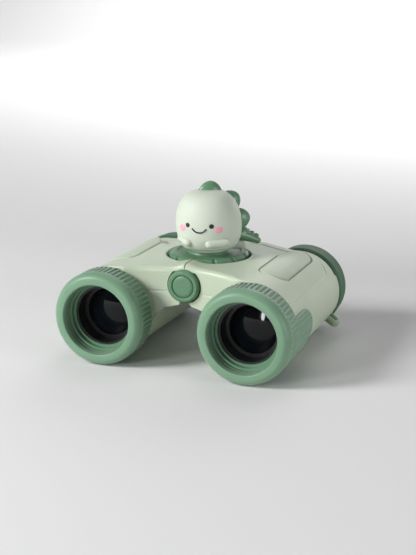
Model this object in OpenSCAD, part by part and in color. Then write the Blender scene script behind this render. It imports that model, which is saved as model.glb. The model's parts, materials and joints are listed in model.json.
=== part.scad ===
// Folding compact binoculars with a round focus dial and a small figure on the dial.
// X runs across the barrels, Y from the objectives (-Y) to the eyepieces (+Y), Z up.
// The origin is below the middle of the body, on the surface that the objective rings stand on.
// Both halves are drawn opened flat, which is the widest eye spacing.

/* [Barrels] */
// Distance between the two barrel axes with the halves opened flat
barrel_spacing = 64.4; // [63.6:0.2:65.2]
// Outside diameter of the rubber objective rings
ring_d = 40; // [39.6:0.1:40.6]
// Outside diameter of each barrel housing
body_d = 36; // [35.8:0.1:36.2]
// Height of the hinge axis above the barrel axes
hinge_rise = 13.5; // [13.3:0.1:13.7]
// Height of the flat bridge above the barrel axes
bridge_rise = 21.4; // [21.3:0.1:21.6]
// Wall thickness of the moulded covers
wall = 2; // [1.9:0.05:2.1]

/* [Rings] */
// Clear diameter of the objective mouth
mouth_d = 30; // [29.8:0.1:30.2]
// Number of ribs round a rubber objective ring
rib_count = 62; // [40:1:80]
// Height of the ribs
rib_h = 0.7; // [0.3:0.1:0.9]

/* [Focus] */
// Diameter of the focus dial
dial_d = 34.6; // [34:0.2:35]
// Angle that the dial turns each way from its middle position
dial_turn = 150; // [90:5:150]
// Distance that the focusing lenses move each way
focus_travel = 1.5; // [1:0.1:1.5]

/* [Figure] */
// Width of the figure's body
figure_w = 27.2; // [25:0.2:28]
// Height of the figure's body
figure_h = 26; // [24:0.5:27]

/* [Eyepieces] */
// Outside diameter of the rubber eyecups
cup_d = 37.2; // [36.6:0.1:37.6]

/* [Hidden] */
$fn = 72;

// Heights and places that the driving dimensions set
ring_r = ring_d / 2;
body_r = body_d / 2;
bore_r = body_r - wall;
barrel_x = barrel_spacing / 2;
barrel_z = ring_r;
hinge_z = barrel_z + hinge_rise;
top_z = barrel_z + bridge_rise;
split_z = barrel_z + 10.5;
mouth_r = mouth_d / 2;
dial_r = dial_d / 2;
dial_y = 1;
well_r = dial_r + 1.2;
cup_r = cup_d / 2;
slip = 0.05;
seam = 0.15;

// Stations along Y
front_y = -45;
mouth_y = -44.2;
cell_y = -41;
band_y = -40.9;
ring_back_y = -31.2;
housing_front_y = -32;
tongue_back_y = -11;
housing_back_y = 32.4;
cover_back_y = 26.5;
back_y = 45;

// Hinge stack along Y
axle_r = 2.45;
axle_bore_r = axle_r + slip;
knuckle_r = 4.9;
cap_r = 7;
cap_front_y = -28.2;
right_knuckles = [[-23.8, -20.2], [22.3, 26.3]];
left_knuckles = [[-19.6, -16], [17.6, 21.6]];
washers = [[-20.1, -19.7], [-15.9, -15.4], [17, 17.5], [21.7, 22.2], [26.4, 26.9]];

// Focus drive: the dial's spiral groove moves the carriage along the axle
cam_r = 9;
cam_pin_r = 0.8;
cam_pitch = focus_travel / (dial_turn * PI / 180);
arm_y = dial_y - cam_r;
arm_angle = 180 + atan2(hinge_rise, barrel_x);
arm_reach = sqrt(barrel_x * barrel_x + hinge_rise * hinge_rise);
spool_r = 3.2;
flange_r = 4;
groove_w = 2.2;
arm_t = groove_w - 0.15;
table_z = hinge_z + 3.1;
table_top_z = table_z + 2;
table_r = 16;
post_r = 2.5;
dial_z = table_top_z + 0.3;
dial_top_z = barrel_z + 22.2;
hub_top_z = barrel_z + 23.5;
screw_ring_r = 5;

// Figure
figure_r = figure_w / 2;
figure_y = dial_y - 1;
figure_z = hub_top_z;

// ---- Shared shapes ----

module along_y(y = 0) translate([0, y, 0]) rotate([-90, 0, 0]) children();

// A solid of revolution about a Y axis; each point is [radius, y]
module turned(points) along_y() rotate_extrude() polygon(points);

module tube(outer, inner, y0, y1) turned([[inner, y0], [outer, y0], [outer, y1], [inner, y1]]);

module rod(radius, y0, y1) along_y(y0) cylinder(r = radius, h = y1 - y0);

// A prism along Y of an outline drawn in X and Z
module prism_y(y0, y1) translate([0, y1, 0]) rotate([90, 0, 0]) linear_extrude(y1 - y0) children();

module at_barrel() translate([barrel_x, 0, barrel_z]) children();

module at_hinge() translate([0, 0, hinge_z]) children();

module on_side(side) {
    if (side < 0) mirror([1, 0, 0]) children();
    else children();
}

// Half of a lens face: points from the axis to the rim, with the bulge fading to zero at the rim
function face_points(radius, y, bulge, steps = 8) =
    [for (i = [0 : steps]) let (t = i / steps) [radius * t, y + bulge * (1 - t * t)]];

function reversed(list) = [for (i = [len(list) - 1 : -1 : 0]) list[i]];

module lens(radius, y0, y1, front_bulge, back_bulge) {
    turned(concat(face_points(radius, y0, -front_bulge), reversed(face_points(radius, y1, back_bulge))));
}

// ---- Housing of one half, drawn for the right side ----

// Top edge of the bridge from the seam to the barrel, lowered by drop
function bridge_top(drop, start) = [[start, top_z - drop], [20, top_z - 0.4 - drop],
    [29, top_z - 1.3 - drop], [36 - drop * 0.3, barrel_z + 17.6 - drop * 1.1]];

// Lower rear part of the bridge, behind the dial
function rear_top(drop, start) = [[start, top_z - 0.9 - drop], [14, top_z - 1 - drop],
    [20, top_z - 1.9 - drop], [barrel_x, barrel_z + body_r - drop]];

// Arched underside, from the barrel to the wedge that leaves room below the hinge for folding
function bridge_under(lift, start) = [[15.3 + lift * 1.6, barrel_z - 6.2], [13 + lift * 1.2, barrel_z],
    [8.8 + lift * 0.5, barrel_z + 3.3 + lift], [start, barrel_z + 5 + lift]];

module bridge_outline(drop = 0, open = 0, rear = false) {
    polygon(concat(
        rear ? rear_top(drop, seam - open) : bridge_top(drop, seam - open),
        [[barrel_x, barrel_z]],
        bridge_under(drop, 2.6 - open),
        open > 0 ? [] : [[seam, hinge_z]]));
}

crease_y = 10;
arc_r = 60;
bridge_front_y = -26;

module front_arc(back_off) {
    translate([0, bridge_front_y - arc_r, 0]) cylinder(r = arc_r + back_off, h = 100);
}

module half_solid() {
    difference() {
        union() {
            prism_y(housing_front_y + 1, crease_y) bridge_outline();
            prism_y(crease_y, housing_back_y) bridge_outline(rear = true);
        }
        front_arc(0);
    }
    at_barrel() rod(body_r, housing_front_y, housing_back_y);
}

module half_hollow() {
    difference() {
        union() {
            prism_y(housing_front_y, crease_y) bridge_outline(drop = wall, open = 4);
            prism_y(crease_y, housing_back_y - wall) bridge_outline(drop = wall, open = 4, rear = true);
        }
        front_arc(wall);
    }
    at_barrel() rod(bore_r, housing_front_y - 1, housing_back_y - wall);
    at_barrel() rod(14.1, housing_back_y - wall - 1, housing_back_y + 1);
}

module half_shell() {
    difference() {
        half_solid();
        half_hollow();
        translate([0, dial_y, split_z]) cylinder(r = well_r, h = 30);
    }
}

// Column over the top cover: its rear outer corner is rounded
module cover_column(gap) {
    corner_r = 8;
    outer_x = barrel_x + 14.6 + gap;
    translate([0, 0, split_z - gap]) linear_extrude(40) {
        translate([-1, -60]) square([outer_x + 1 - corner_r, 60 + cover_back_y + gap]);
        translate([-1, -60]) square([outer_x + 1, 60 + cover_back_y + gap - corner_r]);
        translate([outer_x - corner_r, cover_back_y + gap - corner_r]) circle(r = corner_r);
    }
}

// Outline of the thumb pad seen from above, with bulged ends
module pad_plan(grow) {
    half_w = 6.25 + grow;
    bulge_r = 7.4;
    translate([34.45, 3.25]) intersection() {
        square([2 * half_w, 60], center = true);
        union() {
            square([2 * half_w, 32], center = true);
            for (end = [-1, 1]) translate([0, end * (20.5 + grow - bulge_r)]) circle(r = bulge_r);
        }
    }
}

// Layer that follows the cover's top between two offsets from its surface
module top_layer(below, above) {
    difference() {
        union() {
            prism_y(-30, 30) bridge_outline(drop = -above);
            at_barrel() rod(body_r + above, -30, 30);
        }
        prism_y(-31, 31) bridge_outline(drop = below, open = 4);
        at_barrel() rod(body_r - below, -31, 31);
    }
}

// Screw bosses inside the top cover
boss_x = 11;
boss_z = split_z - 2.5;
boss_ys = [-16.8, 18.8];

module top_cover(side) color("#c8d2be") on_side(side) {
    difference() {
        union() {
            intersection() {
                half_shell();
                cover_column(0);
            }
            for (y = boss_ys) translate([boss_x, y, boss_z])
                cylinder(r = 2.2, h = top_z - 0.7 * wall - boss_z);
        }
        translate([0, 0, 1]) linear_extrude(100) pad_plan(0.1);
        for (y = boss_ys) translate([boss_x, y, boss_z - 1]) cylinder(r = 0.85, h = 8.5);
        at_hinge() rod(7.2, -40, -20);
    }
    intersection() {
        difference() {
            half_shell();
            top_layer(0.7, 2);
        }
        linear_extrude(100) pad_plan(0.1);
        translate([0, -40, split_z]) cube([60, 80, 40]);
    }
}

module knuckle_web() {
    prism_y(0, 1) polygon([[0, hinge_z], [5, hinge_z], [8.4, hinge_z - 2.5], [8.4, barrel_z + 4.9],
        [3, barrel_z + 6.5]]);
}

module knuckles(spans) {
    for (span = spans) {
        at_hinge() tube(knuckle_r, axle_bore_r, span[0], span[1]);
        difference() {
            translate([0, span[0], 0]) scale([1, span[1] - span[0], 1]) knuckle_web();
            at_hinge() rod(axle_bore_r + 1, span[0] - 1, span[1] + 1);
        }
    }
}

module housing(side) color("#c3cdb8") on_side(side) {
    difference() {
        half_shell();
        cover_column(0.1);
        at_hinge() rod(7.6, -40, -23);
        at_hinge() rod(6, 28, 40);
        for (y = boss_ys) translate([boss_x, y, 0]) {
            cylinder(r = 1.1, h = split_z);
            cylinder(r = 1.9, h = barrel_z + 2.6);
        }
    }
    knuckles(side > 0 ? right_knuckles : left_knuckles);
}

module thumb_pad(side) color("#cfd8c6") on_side(side) {
    intersection() {
        top_layer(0.65, 0.8);
        linear_extrude(100) pad_plan(0);
        translate([0, -40, split_z]) cube([60, 80, 40]);
    }
}

module cover_screws(side) color("#9a9d9b") on_side(side) {
    for (y = boss_ys) translate([boss_x, y, barrel_z + 1.3]) {
        cylinder(r = 1.8, h = 1.3);
        cylinder(r = 0.8, h = 11);
    }
}

// ---- Objective end ----

rib_foot_r = ring_r - rib_h;
rib_top_r = ring_r - 0.06;

// Each rib's feet are sunk into the band
module rib_outline() {
    step = 360 / rib_count;
    shape = [[-0.38, rib_foot_r - 0.3], [-0.18, rib_top_r], [0.18, rib_top_r], [0.38, rib_foot_r - 0.3]];
    polygon([for (i = [0 : rib_count - 1]) for (p = shape)
        [p[1] * cos((i + p[0]) * step), p[1] * sin((i + p[0]) * step)]]);
}

// Rounded shoulder of the rubber ring, as [radius, y] points from the face to the band
shoulder = [for (a = [0 : 10 : 90])
    [ring_r - 3 + 3 * sin(a), band_y - (band_y - front_y) * cos(a)]];

// Tab behind the ring on its outer side, with a rounded end; low and high are heights from the barrel axis
module tongue() {
    corner_r = 7.6;
    low = -17;
    high = 6.6;
    start_y = ring_back_y - 2;
    intersection() {
        tube(rib_foot_r - 0.1, body_r + slip, start_y, tongue_back_y);
        rotate([90, 0, 90]) linear_extrude(30) {
            translate([start_y, low]) square([tongue_back_y - corner_r - start_y, high - low]);
            translate([start_y, low + corner_r]) square([tongue_back_y - start_y, high - low - 2 * corner_r]);
            for (z = [low + corner_r, high - corner_r]) translate([tongue_back_y - corner_r, z])
                circle(r = corner_r);
        }
    }
}

module objective_ring(side) color("#7fae88") on_side(side) at_barrel() {
    turned(concat([[mouth_r, cell_y - slip], [mouth_r, mouth_y], [mouth_r + 1, front_y]], shoulder,
        [[rib_foot_r, band_y], [rib_foot_r, ring_back_y], [body_r + slip, ring_back_y],
         [body_r + slip, cell_y - slip]]));
    difference() {
        prism_y(band_y - 0.4, ring_back_y - 0.3) rib_outline();
        rod(rib_foot_r - 0.6, band_y - 1, ring_back_y + 1);
    }
    tongue();
}

module objective_cell(side) color("#86b391") on_side(side) at_barrel() {
    turned([[14.6, cell_y], [body_r, cell_y], [body_r, housing_front_y - slip],
        [bore_r - slip, housing_front_y - slip], [bore_r - slip, -20], [12.75, -20], [12.75, -37],
        [13.2, -37], [13.2, -38], [13.9, -38], [13.9, -39.5], [14.6, -39.5]]);
}

module arm_slot(y0, y1) {
    rotate([0, arm_angle, 0]) translate([9, y0, -2.3]) cube([8, y1 - y0, 4.6]);
}

module objective_tube(side) color("#1b1c1d") on_side(side) at_barrel() {
    difference() {
        turned([[11.9, -36.9], [12.7, -36.9], [12.7, -1], [11.25, -1], [11.25, -23.5], [10.4, -23.5],
            [10.4, -24.6], [11.3, -24.6], [11.3, -31], [11.9, -31]]);
        arm_slot(arm_y - focus_travel - 1.3, 0);
    }
}

module objective_lens(side) color("#2a3138") on_side(side) at_barrel() lens(11.25, -28.6, -25.4, 1, 0.7);

module lens_retainer(side) color("#151617") on_side(side) at_barrel() tube(11.25, 10.4, -30.9, -28.85);

// ---- Focusing cell: slides in the objective tube, its arm rides in the carriage's groove ----

module focus_cell(side) color("#3b3d3f") on_side(side) at_barrel() {
    difference() {
        union() {
            rod(11.2, arm_y - 3, arm_y + 3);
            rotate([0, arm_angle, 0]) translate([10.5, arm_y - arm_t / 2, -2])
                cube([arm_reach - 4.6 - 10.5, arm_t, 4]);
        }
        rod(9.4, arm_y - 4, arm_y + 4);
    }
    rotate([0, arm_angle, 0]) translate([arm_reach, 0, 0]) intersection() {
        tube(5.2, spool_r + slip, arm_y - arm_t / 2, arm_y + arm_t / 2);
        translate([0, 5, 0]) rotate([90, 0, 0]) linear_extrude(30) polygon([[0, 0], [-8, 8.4], [-8, -8.4]]);
    }
}

module focus_lens(side) color("#49545c") on_side(side) at_barrel() {
    lens(9.35, arm_y - 1.6, arm_y + 1.6, -0.6, -0.6);
}

// ---- Prisms ----

prism_w = 16.6;

module in_profile(points) {
    rotate([90, 0, 90]) translate([0, 0, -prism_w / 2]) linear_extrude(prism_w) polygon(points);
}

module prism_cage(side) color("#2a2b2c") on_side(side) at_barrel() {
    difference() {
        rod(15.8, 1, 18.2);
        translate([-8.4, 2.2, -8.6]) cube([16.8, 14.8, 17.2]);
        rod(7.6, 0, 20);
    }
}

module erecting_prism(side) color("#9fb3bd") on_side(side) at_barrel() {
    in_profile([[2.4, -8.4], [4, -8.4], [10.9, 8.4], [2.4, 8.4]]);
}

module roof_prism(side) color("#9fb3bd") on_side(side) at_barrel() {
    intersection() {
        in_profile([[4.6, -8.4], [16.8, -8.4], [16.8, 3], [12.6, 8.4], [11.5, 8.4]]);
        prism_y(0, 20) polygon([[-8.3, -8.4], [8.3, -8.4], [8.3, 2], [1.9, 8.4], [-1.9, 8.4], [-8.3, 2]]);
    }
}

// ---- Eyepiece ----

module field_stop(side) color("#1b1c1d") on_side(side) at_barrel() tube(13.9, 7, 19.2, 20.2);

module eyepiece_barrel(side) color("#232425") on_side(side) at_barrel() {
    turned([[13.95, 18.4], [bore_r - slip, 18.4], [bore_r - slip, 30.3], [14, 30.3], [14, 42], [9.2, 42],
        [9.2, 36.2], [8.3, 36.2], [8.3, 26.4], [9.6, 26.4], [9.6, 20.3], [13.95, 20.3]]);
}

module field_lens(side) color("#49545c") on_side(side) at_barrel() lens(9.5, 21.6, 24.6, 0.3, 1);

module eye_lens(side) color("#49545c") on_side(side) at_barrel() lens(9.1, 36.4, 39.6, 0.8, 0.8);

module eyecup(side) color("#4e7a5a") on_side(side) at_barrel() {
    turned([[14.05, 32.5], [cup_r - 0.4, 32.5], [cup_r, 33.4], [cup_r, 37.6], [cup_r - 0.5, 38.2],
        [cup_r - 0.5, 42.6], [cup_r - 1.2, 44.3], [cup_r - 2.6, back_y], [15.4, back_y], [14.4, 44.6],
        [11.2, 42.6], [11.2, 42.1], [14.05, 42.1]]);
}

// ---- Strap lug: a loop that stands out of the housing, below and behind ----

module strap_lug(side) color("#b4c4a4") on_side(side) at_barrel() rotate([0, 36, 0]) {
    difference() {
        translate([0, 0, -1.5]) linear_extrude(3) {
            translate([15, 24.8]) square([7, 7.4]);
            translate([22, 26.8]) circle(r = 2);
            translate([22, 30.2]) circle(r = 2);
            translate([22, 26.8]) square([2, 3.4]);
        }
        translate([18.9, 26.3, -5]) cube([3.5, 4.4, 10]);
        rod(body_r + slip, 0, 50);
    }
}

// ---- Centre: axle, bridge and caps ----

module hinge_axle() color("#a6a9ab") at_hinge() {
    rod(axle_r, cap_front_y + 1.1, 34.4);
}

module hinge_bridge() color("#2f3132") {
    difference() {
        union() {
            translate([0, dial_y, table_z]) cylinder(r = table_r, h = 2);
            translate([0, dial_y, table_z]) cylinder(r = 6.2, h = 2.25);
            translate([0, dial_y, table_z]) cylinder(r = post_r, h = 4.4);
            for (y = [-15.2, 13.2]) {
                at_hinge() rod(5, y, y + 3.1);
                translate([-5, y, hinge_z]) cube([10, 3.1, 3.2]);
            }
        }
        for (y = [-15.2, 13.2]) at_hinge() rod(axle_bore_r, y - 1, y + 4);
        translate([-2.9, arm_y - 4.1, table_z - 1]) cube([5.8, 8.2, 5]);
        translate([0, dial_y, table_z + 1]) cylinder(r = 0.9, h = 10);
    }
}

module hinge_cap() color("#8fb596") at_hinge() {
    turned([[axle_bore_r, cap_front_y + 1], [4.85, cap_front_y + 1], [4.85, cap_front_y + 0.3],
        [5.2, cap_front_y], [6.3, cap_front_y], [cap_r, cap_front_y + 0.7], [cap_r, -25.6],
        [5.2, -25.6], [5.2, -23.95], [axle_bore_r, -23.95]]);
}

module hinge_cap_disc() color("#86ab8c") at_hinge() {
    turned([[0, cap_front_y - 0.3], [3.9, cap_front_y - 0.15], [4.7, cap_front_y + 0.25],
        [4.7, cap_front_y + 0.9], [0, cap_front_y + 0.9]]);
}

module rear_hinge_cap() color("#8fb596") at_hinge() {
    turned([[axle_bore_r, 27], [4.8, 27], [4.8, 32.7], [cap_r, 32.7], [cap_r, 34.6], [cap_r - 0.8, 35.4],
        [0, 35.4], [0, 34.5], [axle_bore_r, 34.5]]);
}

module hinge_washers() color("#c9a24a") at_hinge() {
    for (w = washers) tube(4.8, axle_bore_r, w[0], w[1]);
}

module dial_pivot_screw() color("#a6a9ab") translate([0, dial_y, 0]) {
    translate([0, 0, table_z + 4.45]) cylinder(r = 3.4, h = 1.2);
    translate([0, 0, table_z + 1.6]) cylinder(r = 0.85, h = 3);
}

// ---- Dial, with the spiral groove of the focus drive in its underside ----

function cam_radius(turn) = cam_r - cam_pitch * turn * PI / 180;

module cam_groove(steps = 40) {
    width = 2 * cam_pin_r + 0.24;
    reach = dial_turn + 10;
    turns = [for (i = [0 : steps]) reach * (2 * i / steps - 1)];
    outer = [for (a = turns) (cam_radius(a) + width / 2) * [sin(a), -cos(a)]];
    inner = [for (a = turns) (cam_radius(a) - width / 2) * [sin(a), -cos(a)]];
    linear_extrude(2.6, center = true) polygon(concat(outer, reversed(inner)));
}

module focus_dial() color("#7fa58a") translate([0, dial_y, 0]) {
    difference() {
        rotate_extrude() polygon([[post_r + slip, dial_z], [dial_r - 0.8, dial_z], [dial_r, dial_z + 0.8],
            [dial_r, dial_top_z - 1.2], [dial_r - 1.2, dial_top_z], [dial_r - 3, dial_top_z],
            [dial_r - 3.6, dial_top_z - 0.5], [9, dial_top_z - 0.5], [8.4, hub_top_z], [3.7, hub_top_z],
            [3.7, table_z + 4.4], [post_r + slip, table_z + 4.4]]);
        translate([0, 0, dial_z]) cam_groove();
        for (a = [0 : 30 : 330]) rotate([0, 0, a]) translate([dial_r + 0.9, 0, dial_z - 1])
            cylinder(r = 1.5, h = 10);
        for (x = [-screw_ring_r, screw_ring_r]) translate([x, 0, dial_z - 1]) {
            cylinder(r = 0.9, h = 10);
            cylinder(r = 1.35, h = 2.2);
        }
    }
}

module focus_carriage() color("#4a4c4e") at_hinge() {
    difference() {
        union() {
            rod(spool_r, arm_y - 2.3, arm_y + 2.3);
            for (y = [arm_y - 2.3, arm_y + groove_w / 2]) rod(flange_r, y, y + 2.3 - groove_w / 2);
        }
        rod(axle_bore_r, arm_y - 4, arm_y + 4);
        translate([0, arm_y, 2.9]) cylinder(r = cam_pin_r, h = 3);
    }
}

module cam_follower() color("#b3b6b8") translate([0, arm_y, hinge_z + 2.9]) {
    cylinder(r = cam_pin_r, h = dial_z + 1 - hinge_z - 2.9);
}

// ---- Figure on the dial ----

// Outline of the figure's egg-shaped body, grown by some amount, as [radius, height] points
low_angle = -62;
egg_mid = figure_h * 0.47;

function egg_points(grow, steps = 18) =
    [for (i = [0 : steps]) let (t = low_angle + (90 - low_angle) * i / steps)
        [(figure_r + grow) * pow(max(0, cos(t)), 0.8),
         egg_mid + (t < 0 ? egg_mid / sin(-low_angle) : figure_h - egg_mid + grow) * sin(t)]];

module egg(grow = 0) {
    translate([0, figure_y, figure_z]) rotate_extrude() polygon(concat([[0, 0]], egg_points(grow)));
}

module figure_body() color("#c9d3bf") difference() {
    egg();
    for (x = [-screw_ring_r, screw_ring_r]) translate([x, dial_y, figure_z - 1]) cylinder(r = 0.8, h = 6);
}

// A tapered limb with domed ends between two places given from the middle of the dial's hub
module limb(root, tip, root_r, tip_r) {
    way = tip - root;
    length = norm(way);
    dome = [for (a = [90 : -22.5 : 22.5]) [cos(a), sin(a)]];
    profile = concat([for (p = dome) [root_r * p[0], -root_r * p[1]]], [[root_r, 0], [tip_r, length]],
        [for (p = reversed(dome)) [tip_r * p[0], length + tip_r * p[1]]]);
    translate([0, figure_y, figure_z]) translate(root)
        rotate([0, acos(way[2] / length), atan2(way[1], way[0])]) rotate_extrude() polygon(profile);
}

// The back plates and the tail lie in one upright plane through the body's axis
ridge_angle = 38;

// Place in that plane at a distance from the body's axis and a height above the dial
function ridge_place(distance, height) =
    [distance * cos(ridge_angle), distance * sin(ridge_angle), height];

// Back plates: [distance from the body's axis, height above the dial, radius]
plates = [[0.9, 24.6, 4.4], [9.6, 20, 4.4], [13.4, 12.6, 4.2]];

module figure_plates() color("#7fae88") difference() {
    for (p = plates) translate([0, figure_y, figure_z] + ridge_place(p[0], p[1])) sphere(r = p[2]);
    egg();
}

module figure_tail() color("#7fae88") difference() {
    limb(ridge_place(11.4, 5.4), ridge_place(22, 3), 3.4, 1.9);
    egg();
}

module figure_paws() color("#c9d3bf") difference() {
    union() {
        limb([10.4, -7.4, 4.6], [5.2, -11.8, 4.2], 1.8, 1.9);
        limb([-8.6, -9.2, 5.2], [-4.8, -12, 4.6], 1.8, 1.9);
    }
    egg();
}

module figure_feet() color("#c9d3bf") difference() {
    union() {
        limb([9, 3, 2], [14.4, 4.4, 1.9], 1.9, 1.8);
        limb([-9, 3, 2], [-14.4, 4.4, 1.9], 1.9, 1.8);
    }
    egg();
}

// A thin inlay that follows the figure's face where a column along Y meets it
face_turn = 6;

module on_face(proud) {
    intersection() {
        difference() {
            egg(proud);
            egg(0);
        }
        translate([0, figure_y, figure_z]) rotate([90, 0, face_turn]) linear_extrude(30) children();
    }
}

eye_x = 5.2;
eye_z = 12.8;

module figure_eyes_mouth() color("#1c1d1c") {
    on_face(0.25) for (x = [-eye_x, eye_x]) translate([x, eye_z]) circle(r = 1);
    on_face(0.25) translate([0, eye_z + 0.6]) difference() {
        circle(r = 3.6);
        circle(r = 3.1);
        translate([-5, -2.2]) square([10, 10]);
    }
}

module figure_cheeks() color("#ecc0c8") {
    on_face(0.25) for (x = [-8, 8]) translate([x, eye_z - 1.6]) circle(r = 1.5);
}

module figure_screws() color("#a6a9ab") {
    for (x = [-screw_ring_r, screw_ring_r]) translate([x, dial_y, dial_z + slip]) {
        cylinder(r = 1.25, h = 1.1);
        cylinder(r = 0.75, h = 8.8);
    }
}

hinge_axle();
hinge_bridge();
hinge_cap();
hinge_cap_disc();
rear_hinge_cap();
hinge_washers();
dial_pivot_screw();
focus_dial();
figure_body();
figure_plates();
figure_tail();
figure_paws();
figure_feet();
figure_eyes_mouth();
figure_cheeks();
figure_screws();
focus_carriage();
cam_follower();

top_cover(-1);  // left_top_cover
housing(-1);  // left_housing
thumb_pad(-1);  // left_thumb_pad
objective_ring(-1);  // left_objective_ring
objective_cell(-1);  // left_objective_cell
objective_tube(-1);  // left_objective_tube
objective_lens(-1);  // left_objective_lens
lens_retainer(-1);  // left_lens_retainer
focus_cell(-1);  // left_focus_cell
focus_lens(-1);  // left_focus_lens
prism_cage(-1);  // left_prism_cage
erecting_prism(-1);  // left_erecting_prism
roof_prism(-1);  // left_roof_prism
field_stop(-1);  // left_field_stop
eyepiece_barrel(-1);  // left_eyepiece_barrel
field_lens(-1);  // left_field_lens
eye_lens(-1);  // left_eye_lens
eyecup(-1);  // left_eyecup
strap_lug(-1);  // left_strap_lug
cover_screws(-1);  // left_cover_screws

top_cover(1);  // right_top_cover
housing(1);  // right_housing
thumb_pad(1);  // right_thumb_pad
objective_ring(1);  // right_objective_ring
objective_cell(1);  // right_objective_cell
objective_tube(1);  // right_objective_tube
objective_lens(1);  // right_objective_lens
lens_retainer(1);  // right_lens_retainer
focus_cell(1);  // right_focus_cell
focus_lens(1);  // right_focus_lens
prism_cage(1);  // right_prism_cage
erecting_prism(1);  // right_erecting_prism
roof_prism(1);  // right_roof_prism
field_stop(1);  // right_field_stop
eyepiece_barrel(1);  // right_eyepiece_barrel
field_lens(1);  // right_field_lens
eye_lens(1);  // right_eye_lens
eyecup(1);  // right_eyecup
strap_lug(1);  // right_strap_lug
cover_screws(1);  // right_cover_screws
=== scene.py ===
"""Looks of the folding binoculars with a small figure on the focus dial.

Shapes are worked out in millimetres in the row frame and turned into metres when a mesh is made.
Each half is drawn for the right side (+X), and the left side is its mirror image.
"""

import json
import math

import bpy
import numpy as np
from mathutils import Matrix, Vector


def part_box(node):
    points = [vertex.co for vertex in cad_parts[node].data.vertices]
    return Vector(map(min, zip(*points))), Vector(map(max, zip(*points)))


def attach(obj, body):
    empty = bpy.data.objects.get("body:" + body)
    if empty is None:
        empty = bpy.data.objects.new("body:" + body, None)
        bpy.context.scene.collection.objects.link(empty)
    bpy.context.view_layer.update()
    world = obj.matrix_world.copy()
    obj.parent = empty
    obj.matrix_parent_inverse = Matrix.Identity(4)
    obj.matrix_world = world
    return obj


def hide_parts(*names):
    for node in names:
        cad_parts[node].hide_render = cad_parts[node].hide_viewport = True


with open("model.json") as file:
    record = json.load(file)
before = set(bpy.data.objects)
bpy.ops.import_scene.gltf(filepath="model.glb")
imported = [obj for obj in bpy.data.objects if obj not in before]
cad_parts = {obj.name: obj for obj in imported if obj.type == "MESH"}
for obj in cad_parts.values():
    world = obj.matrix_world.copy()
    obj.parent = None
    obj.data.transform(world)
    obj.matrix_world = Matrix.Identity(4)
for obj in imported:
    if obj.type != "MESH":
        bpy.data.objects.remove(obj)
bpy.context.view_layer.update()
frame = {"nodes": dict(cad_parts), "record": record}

MM = 0.001


def span(node):
    """Lowest and highest corner of a CAD node, in millimetres."""
    low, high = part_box(node)
    return np.array(low) / MM, np.array(high) / MM


# ---- Sizes, from the frame ----

cell_low, cell_high = span("right_objective_cell")
ring_low, ring_high = span("right_objective_ring")
shell_low, shell_high = span("right_housing")
cover_low, cover_high = span("right_top_cover")
cap_low, cap_high = span("hinge_cap")
dial_low, dial_high = span("focus_dial")
body_low, body_high = span("figure_body")
cup_low, cup_high = span("right_eyecup")
lens_low, lens_high = span("right_objective_lens")

BARREL_X = (cell_low[0] + cell_high[0]) / 2
BARREL_Z = (cell_low[2] + cell_high[2]) / 2
BODY_R = (cell_high[2] - cell_low[2]) / 2
RING_R = (ring_high[2] - ring_low[2]) / 2
RING_FRONT, TONGUE_BACK = ring_low[1], ring_high[1]
SHELL_FRONT, SHELL_BACK = shell_low[1], shell_high[1]
SEAM_X = cover_low[0]
COVER_BACK = cover_high[1]
HINGE_Z = (cap_low[2] + cap_high[2]) / 2
CAP_R = (cap_high[2] - cap_low[2]) / 2
DIAL_Y = (dial_low[1] + dial_high[1]) / 2
DIAL_R = (dial_high[1] - dial_low[1]) / 2
WELL_R = DIAL_R + 1.2
FIGURE_Y = (body_low[1] + body_high[1]) / 2
FIGURE_Z = body_low[2]
FIGURE_R = (body_high[0] - body_low[0]) / 2
FIGURE_H = body_high[2] - body_low[2]


# ---- Mesh helpers ----


def smoothstep(t):
    """0 below t = 0, 1 above t = 1, and a smooth rise between."""
    t = np.clip(t, 0, 1)
    return t * t * (3 - 2 * t)


def spaced(stops):
    """Rising values through (value, step) stops: each stretch up to the next stop uses its own step."""
    out = []
    for (start, step), (end, _) in zip(stops[:-1], stops[1:]):
        count = max(1, round((end - start) / step))
        out += [start + (end - start) * i / count for i in range(count)]
    return np.array(out + [stops[-1][0]])


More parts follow.
